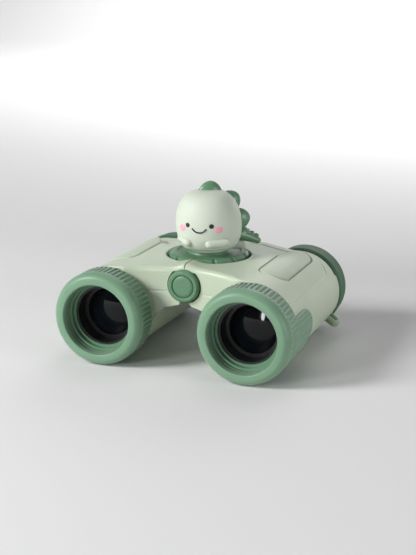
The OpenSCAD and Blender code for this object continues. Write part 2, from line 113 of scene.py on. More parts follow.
class Shape:
    """Grids of points joined into one mesh."""

    def __init__(self):
        self.points, self.faces, self.count = [], [], 0

    def grid(self, points, close_rows=False, close_columns=False, keep=None, flip=False):
        """Adds a grid of shape (rows, columns, 3); keep says which of its squares are made."""
        points = np.asarray(points, float)
        rows, columns = points.shape[:2]
        i = np.arange(rows if close_rows else rows - 1)[:, None]
        j = np.arange(columns if close_columns else columns - 1)[None, :]
        i2, j2 = (i + 1) % rows, (j + 1) % columns
        quads = np.stack(
            [i * columns + j, i * columns + j2, i2 * columns + j2, i2 * columns + j], -1
        )
        if keep is not None:
            quads = quads[keep]
        quads = quads.reshape(-1, 4) + self.count
        if flip:
            quads = quads[:, ::-1]
        self.points.append(points.reshape(-1, 3))
        self.faces.append(quads)
        self.count += rows * columns
        return self

    def ball(self, centre, axes, radii, rows=24, columns=32, power=1.0):
        """Adds an ellipsoid; axes are its three directions and power below 1 squares it off."""
        axes = np.array([np.array(a, float) / np.linalg.norm(a) for a in axes])
        tilt = np.linspace(-math.pi / 2, math.pi / 2, rows)[:, None]
        turn = np.linspace(0, 2 * math.pi, columns, endpoint=False)[None, :]

        def bent(v):
            return np.sign(v) * np.abs(v) ** power

        local = np.stack(
            [
                radii[0] * bent(np.cos(tilt)) * bent(np.cos(turn)),
                radii[1] * bent(np.cos(tilt)) * bent(np.sin(turn)),
                radii[2] * bent(np.sin(tilt)) * np.ones_like(turn),
            ],
            -1,
        )
        return self.grid(np.array(centre) + local @ axes, close_columns=True)

    def pipe(self, path, radii, around=24, closed=False, up=(0, 0, 1), squash=1.0):
        """Adds a tube along a path, with rounded ends unless it is closed."""
        path, radii = np.array(path, float), np.array(radii, float)
        if not closed:
            ends = []
            for end, inner in ((0, 1), (-1, -2)):
                way = path[end] - path[inner]
                way = way / np.linalg.norm(way)
                bow = [
                    (path[end] + way * radii[end] * math.sin(a), radii[end] * math.cos(a))
                    for a in np.radians([20, 40, 60, 75, 89.9])
                ]
                ends.append(bow)
            path = np.array([p for p, _ in ends[0][::-1]] + list(path) + [p for p, _ in ends[1]])
            radii = np.array([r for _, r in ends[0][::-1]] + list(radii) + [r for _, r in ends[1]])
        if closed:
            ways = np.roll(path, -1, 0) - np.roll(path, 1, 0)
        else:
            ways = np.gradient(path, axis=0)
        ways /= np.linalg.norm(ways, axis=1)[:, None]
        side = np.cross(ways, up)
        side /= np.linalg.norm(side, axis=1)[:, None]
        top = np.cross(side, ways)
        a = np.linspace(0, 2 * math.pi, around, endpoint=False)
        rings = (
            path[:, None, :]
            + side[:, None, :] * (np.cos(a)[None, :, None] * radii[:, None, None])
            + top[:, None, :] * (np.sin(a)[None, :, None] * radii[:, None, None] * squash)
        )
        return self.grid(rings, close_rows=closed, close_columns=True)

    def build(self, name, body, slot, material, side=1, replaces=(), crease=None):
        """Makes the piece, mirrored for the left side, on its body and in place of its CAD nodes."""
        points, faces = np.concatenate(self.points), np.concatenate(self.faces)
        if side < 0:
            points = points * [-1, 1, 1]
            faces = faces[:, ::-1]
        mesh = bpy.data.meshes.new(name)
        mesh.from_pydata((points * MM).tolist(), [], faces.tolist())
        mesh.validate()
        mesh.shade_smooth()
        piece = bpy.data.objects.new(name, mesh)
        bpy.context.scene.collection.objects.link(piece)
        weld = piece.modifiers.new("weld", "WELD")
        weld.merge_threshold = 0.004 * MM
        if crease:
            split = piece.modifiers.new("crease", "EDGE_SPLIT")
            split.split_angle = math.radians(crease)
        piece.data.materials.append(material)
        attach(piece, body)
        if replaces:
            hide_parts(*replaces)
        return piece


def rounded(profile, radius, steps=5):
    """A closed profile of (a, b) corners with each corner rounded; a third value sets its own radius."""
    out = []
    n = len(profile)
    for i, corner in enumerate(profile):
        here = np.array(corner[:2], float)
        r = corner[2] if len(corner) > 2 else radius
        before = np.array(profile[i - 1][:2], float) - here
        after = np.array(profile[(i + 1) % n][:2], float) - here
        lb, la = np.linalg.norm(before), np.linalg.norm(after)
        before, after = before / lb, after / la
        angle = math.acos(np.clip(before @ after, -1, 1))
        if r <= 0 or angle > math.radians(176):
            out.append(here)
            continue
        reach = min(r / math.tan(angle / 2), 0.48 * lb, 0.48 * la)
        r = reach * math.tan(angle / 2)
        middle = before + after
        centre = here + middle / np.linalg.norm(middle) * (r / math.sin(angle / 2))
        start, end = here + before * reach - centre, here + after * reach - centre
        a0, a1 = math.atan2(start[1], start[0]), math.atan2(end[1], end[0])
        turn = (a1 - a0 + math.pi) % (2 * math.pi) - math.pi
        for k in range(steps + 1):
            a = a0 + turn * k / steps
            out.append(centre + r * np.array([math.cos(a), math.sin(a)]))
    return np.array(out)


def lathe(profile, x, z, around=128, swell=None):
    """Points of a solid of revolution about a Y axis from a closed profile of (radius, y)."""
    profile = np.asarray(profile, float)
    turn = np.linspace(0, 2 * math.pi, around, endpoint=False)
    r = profile[:, 0][:, None] * np.ones(around)[None, :]
    if swell is not None:
        r = r + swell(profile, turn)
    return np.stack(
        [x + r * np.sin(turn), profile[:, 1][:, None] * np.ones(around), z + r * np.cos(turn)], -1
    )


def upright(profile, x, y, around=128, swell=None):
    """Points of a solid of revolution about a vertical axis from a closed profile of (radius, z)."""
    profile = np.asarray(profile, float)
    turn = np.linspace(0, 2 * math.pi, around, endpoint=False)
    r = profile[:, 0][:, None] * np.ones(around)[None, :]
    if swell is not None:
        r = r + swell(profile, turn)
    return np.stack(
        [x + r * np.cos(turn), y + r * np.sin(turn), profile[:, 1][:, None] * np.ones(around)], -1
    )


# ---- Materials ----


def linear(colour):
    """Scene-linear RGBA of an 8-bit display colour."""
    part = [c / 255 for c in colour]
    return [c / 12.92 if c <= 0.04045 else ((c + 0.055) / 1.055) ** 2.4 for c in part] + [1]


def material(name, light, dark, rough, grain, bump, coat=0.0, metal=0.0, sheen=0.0, streak=None):
    """Moulded or turned surface: two shades mixed by noise, with fine grain and uneven gloss."""
    made = bpy.data.materials.new(name)
    made.use_nodes = True
    nodes, links = made.node_tree.nodes, made.node_tree.links
    shader = nodes["Principled BSDF"]
    place = nodes.new("ShaderNodeTexCoord")
    broad = nodes.new("ShaderNodeTexNoise")
    broad.inputs["Scale"].default_value = 60
    broad.inputs["Detail"].default_value = 4
    fine = nodes.new("ShaderNodeTexNoise")
    fine.inputs["Scale"].default_value = grain
    fine.inputs["Detail"].default_value = 5
    links.new(place.outputs["Object"], broad.inputs["Vector"])
    if streak:
        stretch = nodes.new("ShaderNodeMapping")
        stretch.inputs["Scale"].default_value = streak
        links.new(place.outputs["Object"], stretch.inputs["Vector"])
        links.new(stretch.outputs["Vector"], fine.inputs["Vector"])
    else:
        links.new(place.outputs["Object"], fine.inputs["Vector"])
    ramp = nodes.new("ShaderNodeValToRGB")
    ramp.color_ramp.elements[0].position = 0.3
    ramp.color_ramp.elements[0].color = linear(dark)
    ramp.color_ramp.elements[1].position = 0.7
    ramp.color_ramp.elements[1].color = linear(light)
    links.new(broad.outputs["Fac"], ramp.inputs["Fac"])
    links.new(ramp.outputs["Color"], shader.inputs["Base Color"])
    gloss = nodes.new("ShaderNodeMapRange")
    gloss.inputs["To Min"].default_value = rough - 0.06
    gloss.inputs["To Max"].default_value = rough + 0.06
    links.new(fine.outputs["Fac"], gloss.inputs["Value"])
    links.new(gloss.outputs["Result"], shader.inputs["Roughness"])
    relief = nodes.new("ShaderNodeBump")
    relief.inputs["Strength"].default_value = bump
    relief.inputs["Distance"].default_value = 0.0001
    links.new(fine.outputs["Fac"], relief.inputs["Height"])
    links.new(relief.outputs["Normal"], shader.inputs["Normal"])
    shader.inputs["Coat Weight"].default_value = coat
    shader.inputs["Coat Roughness"].default_value = 0.25
    shader.inputs["Metallic"].default_value = metal
    shader.inputs["Sheen Weight"].default_value = sheen
    return made


def glass(name, light, dark):
    """Coated lens glass over a dark barrel: nearly black, with a tint that varies with the angle."""
    made = material(name, light, dark, 0.1, 300, 0.02, coat=0.3)
    nodes, links = made.node_tree.nodes, made.node_tree.links
    shader = nodes["Principled BSDF"]
    shader.inputs["Coat Roughness"].default_value = 0.03
    shader.inputs["Specular IOR Level"].default_value = 0.12
    edge = nodes.new("ShaderNodeLayerWeight")
    edge.inputs["Blend"].default_value = 0.35
    tint = nodes.new("ShaderNodeValToRGB")
    tint.color_ramp.elements[0].color = linear(dark)
    tint.color_ramp.elements[1].color = linear(light)
    links.new(edge.outputs["Facing"], tint.inputs["Fac"])
    links.new(tint.outputs["Color"], shader.inputs["Base Color"])
    return made


SAGE = material("sage_shell", (185, 197, 175), (179, 192, 169), 0.42, 1800, 0.12, coat=0.12)
RUBBER = material("green_rubber", (113, 149, 121), (105, 141, 113), 0.46, 2200, 0.2, sheen=0.15)
DARK_RUBBER = material("dark_green_rubber", (56, 98, 68), (49, 91, 61), 0.55, 2200, 0.2)
PLASTIC = material("green_plastic", (94, 132, 102), (87, 125, 95), 0.44, 1600, 0.1, coat=0.04)
BLACK = material("black_plastic", (20, 21, 22), (13, 14, 15), 0.42, 1500, 0.15)
GLASS = glass("optical_glass", (40, 48, 58), (7, 8, 10))
STEEL = material("steel", (188, 190, 192), (170, 172, 175), 0.32, 900, 0.1, metal=1, streak=(1, 0.05, 1))
BRASS = material("brass", (206, 170, 98), (190, 152, 82), 0.35, 900, 0.1, metal=1, streak=(1, 0.05, 1))
FIGURE = material("figure_shell", (198, 206, 192), (192, 201, 186), 0.58, 1600, 0.15)
FIGURE_GREEN = material("figure_green", (98, 138, 107), (88, 129, 97), 0.4, 1600, 0.15, coat=0.25)
BLACK_INK = material("black_ink", (26, 27, 27), (20, 21, 21), 0.35, 1200, 0.05, coat=0.3)
PINK_INK = material("pink_ink", (238, 168, 186), (234, 158, 178), 0.55, 1200, 0.05)
PAD = material("pad_shell", (184, 197, 176), (178, 191, 169), 0.5, 2600, 0.3, sheen=0.1)
LUG = material("lug_green", (146, 166, 138), (138, 158, 130), 0.45, 1600, 0.1)
CELL = material("cell_green", (92, 130, 100), (84, 121, 92), 0.45, 1600, 0.1)

NODE_LOOK = {
    "sage_shell": SAGE,
    "green_rubber": RUBBER,
    "dark_green_rubber": DARK_RUBBER,
    "green_plastic": PLASTIC,
    "black_plastic": BLACK,
    "optical_glass": GLASS,
    "steel": STEEL,
    "brass": BRASS,
    "figure_shell": FIGURE,
    "figure_green": FIGURE_GREEN,
    "black_ink": BLACK_INK,
    "pink_ink": PINK_INK,
}

for part in frame["record"]["subparts"]:
    mesh = frame["nodes"][part["node"]].data
    mesh.materials.clear()
    mesh.materials.append(NODE_LOOK[part["material_slot"]])


# ---- Body of one half ----

# Bridge's top: its height above the barrel axis, and how far it falls towards the barrel
BRIDGE_RISE = 21.4
BRIDGE_FALL = 1.3
FALL_POWER = 2.2
REAR_RISE = 2.5
CREASE_SPAN = 4.0
# Curved front wall, and the arch under the bridge as (x, height) points from the barrel inwards
BRIDGE_FRONT = -26.0
ARC_R = 60.0
UNDER = [(15.3, -6.2), (13.0, 0.0), (8.8, 3.3), (2.6, 5.0)]
SHOULDER_END = math.radians(62)
# Rise at the seam, ahead of the dial
LIP_RISE = 1.4
LIP_WIDTH = 3.8
LIP_BACK = -14
# Line between the top cover and the housing, at the cover's lower edge
SPLIT_RISE = 10.5
PARTING_S = BODY_R * math.atan2(14.6, SPLIT_RISE)
PARTING_R = 8.0
GROOVE_DEPTH = 0.72
GROOVE_WIDTH = 0.3
SEAM_DEPTH = 6.0
FOLD = math.radians(15)
FOLD_SPARE = math.radians(0.6)
CAP_GAP = 0.6
CAP_RECESS = 2.4
# Thumb pad, measured along the skin
PAD_X, PAD_Y = 34.45, 3.25
PAD_S = PAD_X - BARREL_X
PAD_W, PAD_L = 6.25, 20.6
PAD_CORNER, PAD_BOW = 3.4, 1.8


def front_height(x):
    """Height of the bridge's top above the barrel axis, ahead of the crease."""
    return BRIDGE_RISE - BRIDGE_FALL * np.clip(x / BARREL_X, 0, 1) ** FALL_POWER


def rear_height(x):
    """The same behind the crease, where the bridge drops into the barrels."""
    return BODY_R + REAR_RISE * (1 - smoothstep((x - 12) / 19))


def crease_y(x):
    """Where the crease across the top starts: it runs back as it nears the barrel's outer side."""
    return 6 + 5 * smoothstep((x - 14) / 14) + 13 * smoothstep((x - 27) / 9)


def behind(x, y):
    """Share of the rear height: 0 ahead of the crease, 1 behind it."""
    return smoothstep((y - crease_y(x)) / CREASE_SPAN)


def lip(x, y):
    """Low rise of the bridge at the seam, ahead of the dial."""
    return LIP_RISE * np.exp(-((x / LIP_WIDTH) ** 2)) * smoothstep((LIP_BACK - y) / 3)


def bridge_height(x, y):
    """Height of the bridge's top above the barrel axis."""
    w = behind(x, y)
    return (front_height(x) + lip(x, y)) * (1 - w) + rear_height(x) * w


def barrel_radius(angle, y):
    """Radius of the outer skin round the barrel axis; angle runs from the top towards the outer side."""
    x = BARREL_X + BODY_R * np.sin(angle)
    t = np.clip(angle / SHOULDER_END, 0, 1)
    rise = (front_height(BARREL_X) - BODY_R) * (2 * t**3 - 3 * t**2 + 1)
    slope = -BRIDGE_FALL * FALL_POWER / BARREL_X * front_height(BARREL_X) * SHOULDER_END
    rise = rise + slope * (t**3 - 2 * t**2 + t)
    return BODY_R + rise * (1 - behind(x, y))


def skin(s, y):
    """Place on the outer skin: s is the distance from above the barrel axis, negative towards the seam."""
    s, y = np.broadcast_arrays(np.asarray(s, float), np.asarray(y, float))
    angle = np.clip(s, 0, None) / BODY_R
    r = barrel_radius(angle, y)
    flat_x = BARREL_X + np.clip(s, None, 0)
    x = np.where(s < 0, flat_x, BARREL_X + r * np.sin(angle))
    z = np.where(s < 0, bridge_height(flat_x, y), r * np.cos(angle))
    return np.stack([x, y, BARREL_Z + z], -1)


def skin_normal(s, y):
    """Outward direction of the skin."""
    step = 0.05
    ds = skin(np.asarray(s) + step, y) - skin(np.asarray(s) - step, y)
    dy = skin(s, np.asarray(y) + step) - skin(s, np.asarray(y) - step)
    n = np.cross(ds, dy)
    return n / np.linalg.norm(n, axis=-1)[..., None]


def start_y(x):
    """Where the bridge starts: a curved front wall between the barrels."""
    arc = BRIDGE_FRONT - ARC_R + np.sqrt(ARC_R**2 - np.clip(x, 0, 40) ** 2)
    return np.maximum(arc, SHELL_FRONT + 0.4)


def parting_distance(s, y):
    """Distance from the line where the top cover meets the housing: negative on the cover."""
    ds, dy = s - (PARTING_S - PARTING_R), y - (COVER_BACK - PARTING_R)
    corner = np.hypot(np.clip(ds, 0, None), np.clip(dy, 0, None))
    return np.where((ds > 0) & (dy > 0), corner, np.maximum(ds, dy)) - PARTING_R


def pad_distance(s, y):
    """Distance from the thumb pad's outline: a long rounded rectangle with bowed ends, negative inside."""
    u, v = np.abs(s - PAD_S), np.abs(y - PAD_Y)
    a = u - (PAD_W - PAD_CORNER)
    b = v + PAD_BOW * (u / PAD_W) ** 2 - (PAD_L - PAD_CORNER)
    return np.hypot(np.clip(a, 0, None), np.clip(b, 0, None)) + np.minimum(np.maximum(a, b), 0) - PAD_CORNER


def shell_sheet():
    """Distances across and along the skin, closest together at the grooves and the edges."""
    s = spaced(
        [(SEAM_X - BARREL_X, 0.12), (SEAM_X - BARREL_X + 0.6, 0.3), (-12, 0.45), (-6.6, 0.15), (-3.2, 0.45),
         (6.6, 0.15), (9.5, 0.3), (PARTING_S - 0.9, 0.12), (PARTING_S + 0.9, 0.8), (BODY_R * 2.0, 2)]
    )
    t = spaced([(0, 0.14), (1.4, 0.35), (40, 0.35), (49.5, 0.2), (52.6, 0.11), (54.2, 0.4), (58.4, 0.4)])
    return s, t


def station(s, t):
    """Places along Y, counted back from the front wall and squeezed so that the rear ones line up."""
    x = BARREL_X + np.minimum(s, 0)
    front = start_y(x)
    rest = start_y(0.0)
    return np.where(t < 1.4, front + t, 0) + np.where(
        t >= 1.4, (front + 1.4) + (t - 1.4) * (SHELL_BACK - front - 1.4) / (SHELL_BACK - rest - 1.4), 0
    )


def shell_points():
    """Points of the half's skin, with its grooves, rounded edges and the dial's well."""
    s, t = shell_sheet()
    S, T = np.meshgrid(s, t, indexing="ij")
    Y = station(S, T)
    P = skin(S, Y)
    N = skin_normal(S, Y)
    d = parting_distance(S, Y)
    fade = np.where(S > PARTING_S - 3, smoothstep((Y + 24) / 9), 1.0)
    fade = fade * np.where(S < -2, 0.4 + 0.6 * smoothstep((S + 30) / 26), 1.0)
    sink = GROOVE_DEPTH * fade * np.exp(-((d / GROOVE_WIDTH) ** 2))
    pad = pad_distance(S, Y)
    sink = sink + 0.85 * np.exp(-((pad / 0.36) ** 2)) + 0.4 * (1 - smoothstep((pad + 1.2) / 1.2))
    P = P - N * sink[..., None]
    # Rounded edges at the front wall, the back and the seam
    ahead = Y - start_y(BARREL_X + np.minimum(S, 0))
    for reach, away in ((0.8 + 1.5 * smoothstep((-4 - S) / 8), ahead), (1.6, SHELL_BACK - Y)):
        u = np.clip(1 - away / reach, 0, 1)
        bow = reach * (1 - np.sqrt(np.clip(1 - u * u, 0, 1)))
        P = P - N * (bow * (S < 20))[..., None]
    u = np.clip(1 - (P[..., 0] - SEAM_X) / 0.5, 0, 1)
    P[..., 2] -= 0.5 * (1 - np.sqrt(np.clip(1 - u * u, 0, 1)))
    # The well for the dial
    away = np.hypot(P[..., 0], P[..., 1] - DIAL_Y)
    u = np.clip(1 - (away - WELL_R) / 0.7, 0, 1)
    rim = 0.7 * (1 - np.sqrt(np.clip(1 - u * u, 0, 1)))
    near = np.abs(away - WELL_R) < 0.2
    scale = np.where(near, WELL_R / np.maximum(away, 1e-6), 1)
    P[..., 0] *= scale
    P[..., 1] = DIAL_Y + (P[..., 1] - DIAL_Y) * scale
    inside = (away < WELL_R) & ~near
    P[..., 2] = np.where(inside, BARREL_Z + 13.0, P[..., 2] - rim * (~inside))
    return S, Y, P, N


def wall_foot(x):
    """Height where the bridge's front and back walls end: on the arch, or just inside the barrel."""
    arch = np.interp(x, [p[0] for p in UNDER[::-1]], [p[1] for p in UNDER[::-1]])
    barrel = np.sqrt(np.clip(BODY_R**2 - (x - BARREL_X) ** 2, 0, None)) - 1
    return BARREL_Z + np.where(x < 14.8, arch, barrel)


def folding_room(points):
    """Keep the two halves apart below the hinge when they fold."""
    points = points.copy()
    room = SEAM_X + np.clip(HINGE_Z - points[..., 2], 0, None) * math.tan(FOLD + FOLD_SPARE)
    points[..., 0] = np.maximum(points[..., 0], room)
    return points


def make_half(side):
    """One half: its two shells, and everything that rides on it."""
    prefix = "right" if side > 0 else "left"
    half = prefix + "_half"
    S, Y, P, N = shell_points()
    d = parting_distance(S, Y)
    on_cover = (d[:-1, :-1] + d[1:, 1:] + d[:-1, 1:] + d[1:, :-1]) / 4 < 0

    # Front wall from the top's front edge down to the arch, with a round recess for the hinge cap
    top = P[:, 0]
    wall_rows = S[:, 0] < -3.0
    x = top[wall_rows, 0]
    low = wall_foot(x)
    levels = spaced([(0, 0.012), (0.5, 0.025), (1, 1)])
    wall_z = top[wall_rows, 2][:, None] * (1 - levels) + low[:, None] * levels
    wall_x = x[:, None] * np.ones_like(wall_z)
    wall_y = top[wall_rows, 1][:, None] * np.ones_like(wall_z)
    away = np.hypot(wall_x, wall_z - HINGE_Z)
    hole_r = CAP_R + CAP_GAP
    near = np.abs(away - hole_r) < 0.22
    scale = np.where(near, hole_r / np.maximum(away, 1e-6), 1)
    wall_x = np.maximum(wall_x * scale, SEAM_X)
    wall_z = HINGE_Z + (wall_z - HINGE_Z) * scale
    wall_y = wall_y + np.where((away < hole_r) & ~near, CAP_RECESS, 0)
    line = np.exp(-(((wall_z - BARREL_Z - SPLIT_RISE) / 0.2) ** 2)) * (wall_x > 8)
    wall_y = wall_y + 0.3 * line
    wall = folding_room(np.stack([wall_x, wall_y, wall_z], -1))
    wall_cover = (wall_z[:-1, :-1] + wall_z[1:, 1:]) / 2 > BARREL_Z + SPLIT_RISE

    cover = Shape()
    cover.grid(P, keep=on_cover)
    cover.grid(wall, keep=wall_cover, flip=True)
    rows = (S[:, 0] > -5) & (S[:, 0] < PARTING_S)
    cover.grid(np.stack([P[rows, 0] - N[rows, 0] * k for k in (0, 0.5, 1, 2, 2.6)], 1), flip=True)
    # Wall along the seam, so that the shell looks thick when the halves fold
    seam = P[0]
    depth = np.linspace(0, 1, 8)
    seam_wall = np.stack([seam - np.array([0, 0, SEAM_DEPTH]) * k for k in depth])
    seam_wall[1:, :, 0] = SEAM_X
    seam_wall[..., 2] = np.minimum(seam_wall[..., 2], seam[:, 2])
    cover.grid(folding_room(seam_wall))
    cover.build(prefix + "_cover_skin", half, "sage_shell", SAGE, side, [prefix + "_top_cover"], crease=50)

    lower = Shape()
    lower.grid(P, keep=~on_cover)
    lower.grid(wall, keep=~wall_cover, flip=True)
    # Barrel tube, rounded at its back
    barrel = rounded(
        [(BODY_R, SHELL_FRONT), (BODY_R, SHELL_BACK, 1.6), (14.1, SHELL_BACK), (14.1, SHELL_BACK - 2),
         (BODY_R - 2, SHELL_BACK - 2), (BODY_R - 2, SHELL_FRONT)], 0.1
    )
    tube = lathe(barrel, BARREL_X, BARREL_Z, 160)
    lower.grid(tube, close_rows=True, close_columns=True)
    # Arched underside between the barrel and the wedge below the hinge
    arch = []
    for a, b, c in zip([(16.2, -9.0)] + UNDER, UNDER, UNDER[1:] + [(SEAM_X, 5.4)]):
        a, b, c = map(np.array, (a, b, c))
        p, q = (a + b) / 2, (b + c) / 2
        for k in range(6):
            t = k / 6
            arch.append((1 - t) ** 2 * p + 2 * t * (1 - t) * b + t * t * q)
    arch = np.array(arch + [np.array([1.2, 5.2]), np.array([SEAM_X + 0.6, 6.4]), np.array([SEAM_X, 8.0]),
                            np.array([SEAM_X, 17.5])])
    ys = np.linspace(0, 1, 30)
    y0 = start_y(arch[:, 0]) + 0.2
    under = np.stack(
        [np.stack([arch[:, 0], y0 + (SHELL_BACK - 0.4 - y0) * k, BARREL_Z + arch[:, 1]], -1) for k in ys]
    )
    lower.grid(folding_room(under))
    # Back wall between the bridge's rear edge and the arch
    back = P[:, -1]
    rows = S[:, 0] < -1.0
    bx = back[rows, 0]
    bz = back[rows, 2]
    low = wall_foot(bx)
    levels = spaced([(0, 0.02), (0.6, 0.05), (1, 1)])
    back_z = bz[:, None] * (1 - levels) + low[:, None] * levels
    back_x = bx[:, None] * np.ones_like(back_z)
    away = np.hypot(back_x, back_z - HINGE_Z)
    back_wall = np.stack([back_x, np.where(away < 6.2, SHELL_BACK - 4, SHELL_BACK), back_z], -1)
    lower.grid(folding_room(back_wall))
    lower.build(prefix + "_housing_skin", half, "sage_shell", SAGE, side, [prefix + "_housing"], crease=50)

    make_lens(side, prefix, half)
    make_pad(side, prefix, half)
    make_ring(side, prefix, half)
    make_eyecup(side, prefix, half)
    make_lug(side, prefix, half)


def make_pad(side, prefix, half):
    """Thumb pad: a pillow that follows the skin inside its groove."""
    rows = np.linspace(-1, 1, 121)
    gap = 0.25
    v = (PAD_L - gap) * np.sign(rows) * (1 - (1 - np.abs(rows)) ** 1.6)
    across = np.linspace(-1, 1, 49)
    across = np.sign(across) * (1 - (1 - np.abs(across)) ** 1.5)
    tries = np.linspace(0.01, PAD_W, 300)
    inside = pad_distance(PAD_S + tries[None, :], PAD_Y + v[:, None]) < -gap
    half_w = np.maximum((inside * tries[None, :]).max(1), 0.01)
    S = PAD_S + across[None, :] * half_w[:, None]
    Y = PAD_Y + v[:, None] * np.ones_like(S)
    d = -pad_distance(S, Y) - gap
    edge = np.clip(d / 1.1, 0, 1)
    lift = -0.5 + 0.75 * np.sqrt(np.clip(1 - (1 - edge) ** 2, 0, 1)) + 0.3 * smoothstep(d / 4.5)
    P = skin(S, Y) + skin_normal(S, Y) * lift[..., None]
    base = skin(S, Y) - skin_normal(S, Y) * 0.9
    pad = Shape().grid(P, flip=True).grid(base)
    rim = np.concatenate([P[:, 0], P[-1, 1:], P[::-1, -1][1:], P[0, ::-1][1:]])
    rim_low = np.concatenate([base[:, 0], base[-1, 1:], base[::-1, -1][1:], base[0, ::-1][1:]])
    pad.grid(np.stack([rim, rim_low]))
    pad.build(prefix + "_pad", half, "sage_shell", PAD, side, [prefix + "_thumb_pad"], crease=60)


def make_lens(side, prefix, half):
    """Objective lens: a strongly curved front face."""
    radius = (lens_high[2] - lens_low[2]) / 2
    front, back = lens_low[1] + 1.0, lens_high[1]
    t = np.linspace(0, 1, 24)
    face = [(max(radius * k, 0.01), front - 2.3 * (1 - k * k)) for k in t]
    rear = [(max(radius * k, 0.01), back - 0.6 * k * k) for k in t[::-1]]
    lens = Shape().grid(
        lathe(face + rear, BARREL_X, BARREL_Z, 96), close_rows=True, close_columns=True, flip=True
    )
    lens.build(
        prefix + "_front_lens", half, "optical_glass", GLASS, side, [prefix + "_objective_lens"], crease=40
    )


RIBS = 62
MOUTH_R = 15.0
MOUTH_DEPTH = 4.0
RIB_DEPTH = 0.62
# Tongue: lowest and highest place, as heights from the barrel axis, and how far it stands out
TONGUE_LOW, TONGUE_HIGH, TONGUE_CORNER = -17.0, 6.6, 7.6
TONGUE_RISE = 1.25


def make_ring(side, prefix, half):
    """Rubber objective ring: a smooth rounded shoulder, then a ribbed band, with a ribbed tongue behind."""
    band_front, band_back = RING_FRONT + 4.4, RING_FRONT + 13.6
    # Mouth's edge as (distance out from the mouth, distance back from the face)
    edge = [(0, MOUTH_DEPTH), (0, 2), (0, 1), (0, 0.6), (0.03, 0.42), (0.13, 0.22), (0.32, 0.08),
            (0.55, 0.02), (0.9, 0), (1.7, 0)]
    face = [(MOUTH_R + out, RING_FRONT + back) for out, back in edge]
    bow = [
        (RING_R - 2.9 + 2.9 * math.sin(a), RING_FRONT + 4.2 * (1 - math.cos(a)))
        for a in np.radians(np.arange(8, 91, 7))
    ]
    band = [(RING_R, y) for y in np.arange(band_front, band_back - 0.6, 0.5)]
    tail = [(RING_R - 0.15, band_back - 0.25), (RING_R - 0.5, band_back), (BODY_R, band_back + 0.1),
            (BODY_R, RING_FRONT + MOUTH_DEPTH)]
    profile = np.array(face + bow + band + tail)

    def ribs(points, turn):
        """Grooves round the band, which fade out on the shoulder."""
        y, r = points[:, 1][:, None], points[:, 0][:, None]
        fade = smoothstep((y - (band_front - 0.9)) / 3.0) * (r > RING_R - 1.2) * (y < band_back - 0.05)
        wave = (turn[None, :] * RIBS / (2 * math.pi)) % 1
        groove = smoothstep((np.abs(wave - 0.5) - 0.16) / 0.24)
        return -RIB_DEPTH * fade * groove

    ring = Shape().grid(
        lathe(profile, BARREL_X, BARREL_Z, RIBS * 12, ribs), close_rows=True, close_columns=True, flip=True
    )
    # Tongue, drawn in arc lengths round the barrel
    start = band_back - 0.6
    corner = TONGUE_CORNER
    a_low, a_high = math.asin(TONGUE_LOW / BODY_R), math.asin(TONGUE_HIGH / BODY_R)
    heights = np.linspace(0, 1, 121)
    angle = a_low + (a_high - a_low) * heights
    arc = BODY_R * angle
    mid, half_len = BODY_R * (a_low + a_high) / 2, BODY_R * (a_high - a_low) / 2
    over = np.clip(np.abs(arc - mid) - (half_len - corner), 0, None)
    end = TONGUE_BACK - corner + np.sqrt(np.clip(corner**2 - over**2, 0, None))
    along = np.linspace(0, 1, 60) ** 0.8
    Y = start + (end[:, None] - start) * along[None, :]
    A = angle[:, None] * np.ones_like(Y)
    from_side = half_len - np.abs(arc - mid)
    inner = np.minimum(from_side[:, None] + 0 * Y, (end[:, None] - Y))
    edge = np.clip(inner / 0.7, 0, 1)
    height = TONGUE_RISE * np.sqrt(np.clip(1 - (1 - edge) ** 2, 0, 1))
    step = 2 * math.pi / RIBS
    wave = (A / step) % 1
    groove = smoothstep((np.abs(wave - 0.5) - 0.16) / 0.16)
    inset = smoothstep((inner - 1.2) / 0.8)
    height = height + 0.35 * inset * (1 - groove) - 0.25 * inset * groove
    R = BODY_R - 0.05 + height
    P = np.stack([BARREL_X + R * np.cos(A), Y, BARREL_Z + R * np.sin(A)], -1)
    ring.grid(P, flip=True)
    ring.build(prefix + "_ring", half, "green_rubber", RUBBER, side, [prefix + "_objective_ring"])

    # Stepped inner mouth
    mouth_back = RING_FRONT + MOUTH_DEPTH
    steps = rounded(
        [(14.7, mouth_back), (BODY_R - 0.1, mouth_back), (BODY_R - 0.1, RING_FRONT + 12.9),
         (BODY_R - 2.1, RING_FRONT + 12.9), (BODY_R - 2.1, -20), (12.8, -20), (12.8, RING_FRONT + 7.2),
         (13.75, RING_FRONT + 7.2), (13.75, RING_FRONT + 5.3), (14.7, RING_FRONT + 5.3)], 0.15, 3
    )
    Shape().grid(lathe(steps, BARREL_X, BARREL_Z, 128), close_rows=True, close_columns=True, flip=True).build(
        prefix + "_cell", half, "green_plastic", CELL, side, [prefix + "_objective_cell"], crease=40
    )


def make_eyecup(side, prefix, half):
    """Rubber eyecup with two flared bands and a rolled rim."""
    top = (cup_high[2] - cup_low[2]) / 2
    back = cup_high[1]
    profile = rounded(
        [(14.1, SHELL_BACK + 0.1), (top - 0.9, SHELL_BACK + 0.1, 0.4), (top - 0.1, SHELL_BACK + 1.6, 1.0),
         (top, SHELL_BACK + 5.0, 0.4), (top - 0.9, SHELL_BACK + 5.5, 0.2), (top - 0.5, SHELL_BACK + 6.1, 0.3),
         (top - 0.4, SHELL_BACK + 10.2, 0.9), (top - 2.2, back, 1.2), (15.4, back, 0.6), (11.2, back - 2.4),
         (11.2, back - 2.9), (14.1, back - 2.9)], 0.2, 5
    )
    Shape().grid(
        lathe(profile, BARREL_X, BARREL_Z, 144), close_rows=True, close_columns=True, flip=True
    ).build(prefix + "_cup", half, "dark_green_rubber", DARK_RUBBER, side, [prefix + "_eyecup"], crease=55)


